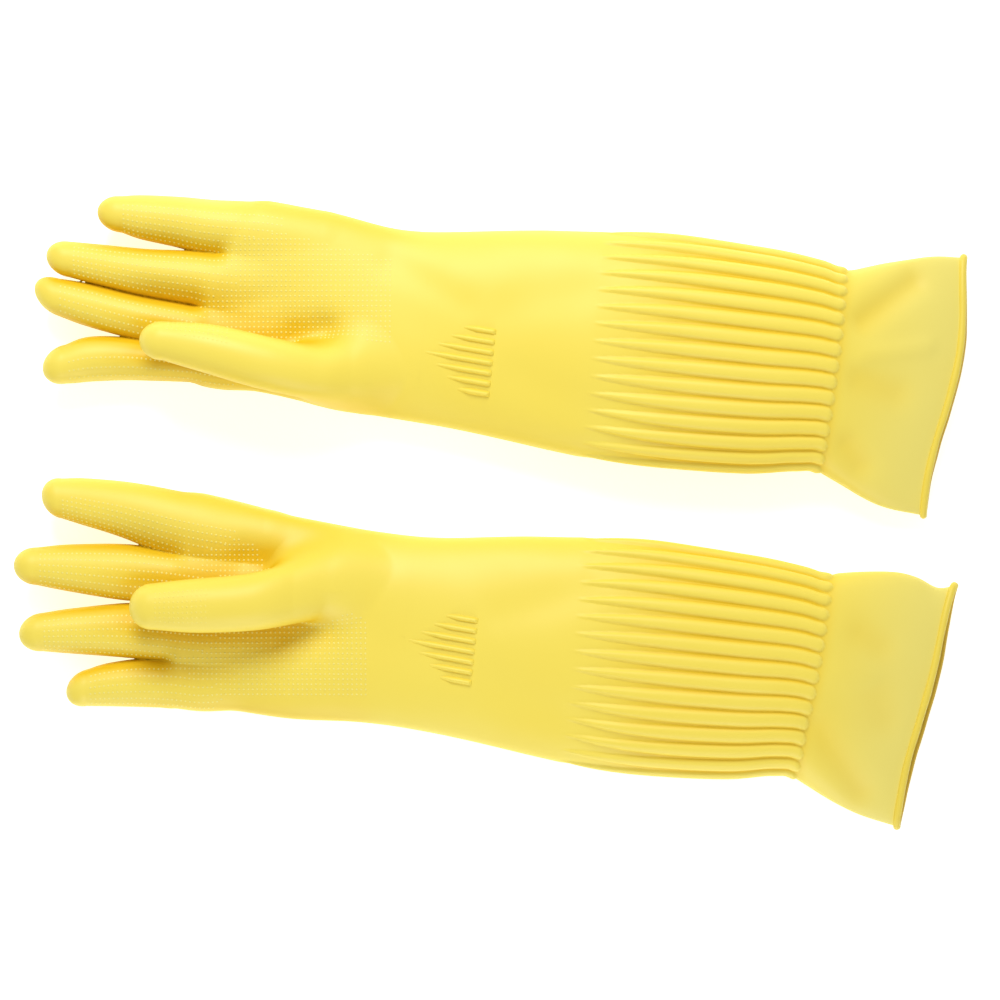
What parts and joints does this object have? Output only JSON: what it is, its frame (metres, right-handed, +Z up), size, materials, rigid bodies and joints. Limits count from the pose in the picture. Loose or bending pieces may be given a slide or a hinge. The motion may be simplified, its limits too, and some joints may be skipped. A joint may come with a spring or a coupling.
{
  "type": "rubber gloves",
  "caption": "Pair of extra-long yellow rubber household gloves with ribbed sleeves, flared cuffs and rolled rims, lying palm up.",
  "frame": {"origin": "on the table, under the middle of the pair of gloves", "axes": "+X from the fingers to the cuffs, +Y from the right glove to the left glove, +Z up, the way the palms face"},
  "size_m": [0.4558, 0.3038, 0.0555],
  "materials": {
    "glove_rubber": "soft satin, slightly translucent natural rubber",
    "rim_rubber": "soft satin, thicker rolled rubber"
  },
  "bodies": {
    "right_arm": {"right_sleeve": "glove_rubber", "right_cuff": "glove_rubber", "right_rim_bead": "rim_rubber"},
    "right_hand_body": {"right_hand": "glove_rubber"},
    "right_thumb_body": {"right_thumb": "glove_rubber"},
    "right_thumb_tip_body": {"right_thumb_tip": "glove_rubber"},
    "right_index_finger_body": {"right_index_finger": "glove_rubber"},
    "right_index_finger_tip_body": {"right_index_finger_tip": "glove_rubber"},
    "right_middle_finger_body": {"right_middle_finger": "glove_rubber"},
    "right_middle_finger_tip_body": {"right_middle_finger_tip": "glove_rubber"},
    "right_ring_finger_body": {"right_ring_finger": "glove_rubber"},
    "right_ring_finger_tip_body": {"right_ring_finger_tip": "glove_rubber"},
    "right_little_finger_body": {"right_little_finger": "glove_rubber"},
    "right_little_finger_tip_body": {"right_little_finger_tip": "glove_rubber"},
    "left_arm": {"left_sleeve": "glove_rubber", "left_cuff": "glove_rubber", "left_rim_bead": "rim_rubber"},
    "left_hand_body": {"left_hand": "glove_rubber"},
    "left_thumb_body": {"left_thumb": "glove_rubber"},
    "left_thumb_tip_body": {"left_thumb_tip": "glove_rubber"},
    "left_index_finger_body": {"left_index_finger": "glove_rubber"},
    "left_index_finger_tip_body": {"left_index_finger_tip": "glove_rubber"},
    "left_middle_finger_body": {"left_middle_finger": "glove_rubber"},
    "left_middle_finger_tip_body": {"left_middle_finger_tip": "glove_rubber"},
    "left_ring_finger_body": {"left_ring_finger": "glove_rubber"},
    "left_ring_finger_tip_body": {"left_ring_finger_tip": "glove_rubber"},
    "left_little_finger_body": {"left_little_finger": "glove_rubber"},
    "left_little_finger_tip_body": {"left_little_finger_tip": "glove_rubber"}
  },
  "joints": [
    {"name": "left_glove_lift", "type": "slide", "parent": "right_arm", "child": "left_arm", "axis": [0, 0, 1], "range_m": [0, 0.12]},
    {"name": "right_wrist_bend", "type": "hinge", "parent": "right_arm", "child": "right_hand_body", "pos_m": [-0.0583, -0.054, 0.0308], "axis": [0.1045, 0.9945, 0], "range_deg": [0, 80], "stiffness_Nm_per_rad": 0.15},
    {"name": "right_thumb_bend", "type": "hinge", "parent": "right_hand_body", "child": "right_thumb_body", "pos_m": [-0.10878, -0.04015, 0.05471], "axis": [-0.1275, 0.9918, 0], "range_deg": [0, 60], "stiffness_Nm_per_rad": 0.03},
    {"name": "right_thumb_tip_bend", "type": "hinge", "parent": "right_thumb_body", "child": "right_thumb_tip_body", "pos_m": [-0.1401, -0.04299, 0.0552], "axis": [-0.0692, 0.9976, 0], "range_deg": [0, 60], "stiffness_Nm_per_rad": 0.02},
    {"name": "right_index_finger_bend", "type": "hinge", "parent": "right_hand_body", "child": "right_index_finger_body", "pos_m": [-0.17502, 0.00195, 0.0262], "axis": [0.1892, 0.9819, 0], "range_deg": [0, 80], "stiffness_Nm_per_rad": 0.03},
    {"name": "right_index_finger_tip_bend", "type": "hinge", "parent": "right_index_finger_body", "child": "right_index_finger_tip_body", "pos_m": [-0.19468, 0.00559, 0.02558], "axis": [0.1708, 0.9853, 0], "range_deg": [0, 80], "stiffness_Nm_per_rad": 0.02},
    {"name": "right_middle_finger_bend", "type": "hinge", "parent": "right_hand_body", "child": "right_middle_finger_body", "pos_m": [-0.17498, -0.02812, 0.0266], "axis": [0.0737, 0.9973, 0], "range_deg": [0, 80], "stiffness_Nm_per_rad": 0.03},
    {"name": "right_middle_finger_tip_bend", "type": "hinge", "parent": "right_middle_finger_body", "child": "right_middle_finger_tip_body", "pos_m": [-0.1996, -0.02664, 0.02638], "axis": [0.0594, 0.9982, 0], "range_deg": [0, 80], "stiffness_Nm_per_rad": 0.02},
    {"name": "right_ring_finger_bend", "type": "hinge", "parent": "right_hand_body", "child": "right_ring_finger_body", "pos_m": [-0.17396, -0.05621, 0.0266], "axis": [0.0159, 0.9999, 0], "range_deg": [0, 80], "stiffness_Nm_per_rad": 0.03},
    {"name": "right_ring_finger_tip_bend", "type": "hinge", "parent": "right_ring_finger_body", "child": "right_ring_finger_tip_body", "pos_m": [-0.19758, -0.05668, 0.02618], "axis": [-0.0275, 0.9996, 0], "range_deg": [0, 80], "stiffness_Nm_per_rad": 0.02},
    {"name": "right_little_finger_bend", "type": "hinge", "parent": "right_hand_body", "child": "right_little_finger_body", "pos_m": [-0.16694, -0.082, 0.02449], "axis": [0.0032, 1, 0], "range_deg": [0, 80], "stiffness_Nm_per_rad": 0.03},
    {"name": "right_little_finger_tip_bend", "type": "hinge", "parent": "right_little_finger_body", "child": "right_little_finger_tip_body", "pos_m": [-0.18264, -0.08235, 0.02418], "axis": [-0.0691, 0.9976, 0], "range_deg": [0, 80], "stiffness_Nm_per_rad": 0.02},
    {"name": "left_wrist_bend", "type": "hinge", "parent": "left_arm", "child": "left_hand_body", "pos_m": [-0.0488, 0.0925, 0.0308], "axis": [0.1045, 0.9945, 0], "range_deg": [0, 80], "stiffness_Nm_per_rad": 0.15},
    {"name": "left_thumb_bend", "type": "hinge", "parent": "left_hand_body", "child": "left_thumb_body", "pos_m": [-0.10213, 0.06932, 0.04939], "axis": [0.2109, 0.9775, 0], "range_deg": [0, 60], "stiffness_Nm_per_rad": 0.03},
    {"name": "left_thumb_tip_bend", "type": "hinge", "parent": "left_thumb_body", "child": "left_thumb_tip_body", "pos_m": [-0.13159, 0.07685, 0.0504], "axis": [0.2145, 0.9767, 0], "range_deg": [0, 60], "stiffness_Nm_per_rad": 0.02},
    {"name": "left_index_finger_bend", "type": "hinge", "parent": "left_hand_body", "child": "left_index_finger_body", "pos_m": [-0.16933, 0.07256, 0.02549], "axis": [0.0931, 0.9957, 0], "range_deg": [0, 80], "stiffness_Nm_per_rad": 0.03},
    {"name": "left_index_finger_tip_bend", "type": "hinge", "parent": "left_index_finger_body", "child": "left_index_finger_tip_body", "pos_m": [-0.18983, 0.07345, 0.02566], "axis": [-0.0505, 0.9987, 0], "range_deg": [0, 80], "stiffness_Nm_per_rad": 0.02},
    {"name": "left_middle_finger_bend", "type": "hinge", "parent": "left_hand_body", "child": "left_middle_finger_body", "pos_m": [-0.16953, 0.09304, 0.0255], "axis": [0.2234, 0.9747, 0], "range_deg": [0, 80], "stiffness_Nm_per_rad": 0.03},
    {"name": "left_middle_finger_tip_bend", "type": "hinge", "parent": "left_middle_finger_body", "child": "left_middle_finger_tip_body", "pos_m": [-0.19216, 0.09892, 0.02538], "axis": [0.2658, 0.964, 0], "range_deg": [0, 80], "stiffness_Nm_per_rad": 0.02},
    {"name": "left_ring_finger_bend", "type": "hinge", "parent": "left_hand_body", "child": "left_ring_finger_body", "pos_m": [-0.16439, 0.11563, 0.02629], "axis": [0.1636, 0.9865, 0], "range_deg": [0, 80], "stiffness_Nm_per_rad": 0.03},
    {"name": "left_ring_finger_tip_bend", "type": "hinge", "parent": "left_ring_finger_body", "child": "left_ring_finger_tip_body", "pos_m": [-0.18518, 0.1192, 0.02618], "axis": [0.1653, 0.9862, 0], "range_deg": [0, 80], "stiffness_Nm_per_rad": 0.02},
    {"name": "left_little_finger_bend", "type": "hinge", "parent": "left_hand_body", "child": "left_little_finger_body", "pos_m": [-0.15046, 0.13965, 0.02539], "axis": [0.1381, 0.9904, 0], "range_deg": [0, 80], "stiffness_Nm_per_rad": 0.03},
    {"name": "left_little_finger_tip_bend", "type": "hinge", "parent": "left_little_finger_body", "child": "left_little_finger_tip_body", "pos_m": [-0.16611, 0.14162, 0.02508], "axis": [0.1108, 0.9938, 0], "range_deg": [0, 80], "stiffness_Nm_per_rad": 0.02}
  ]
}
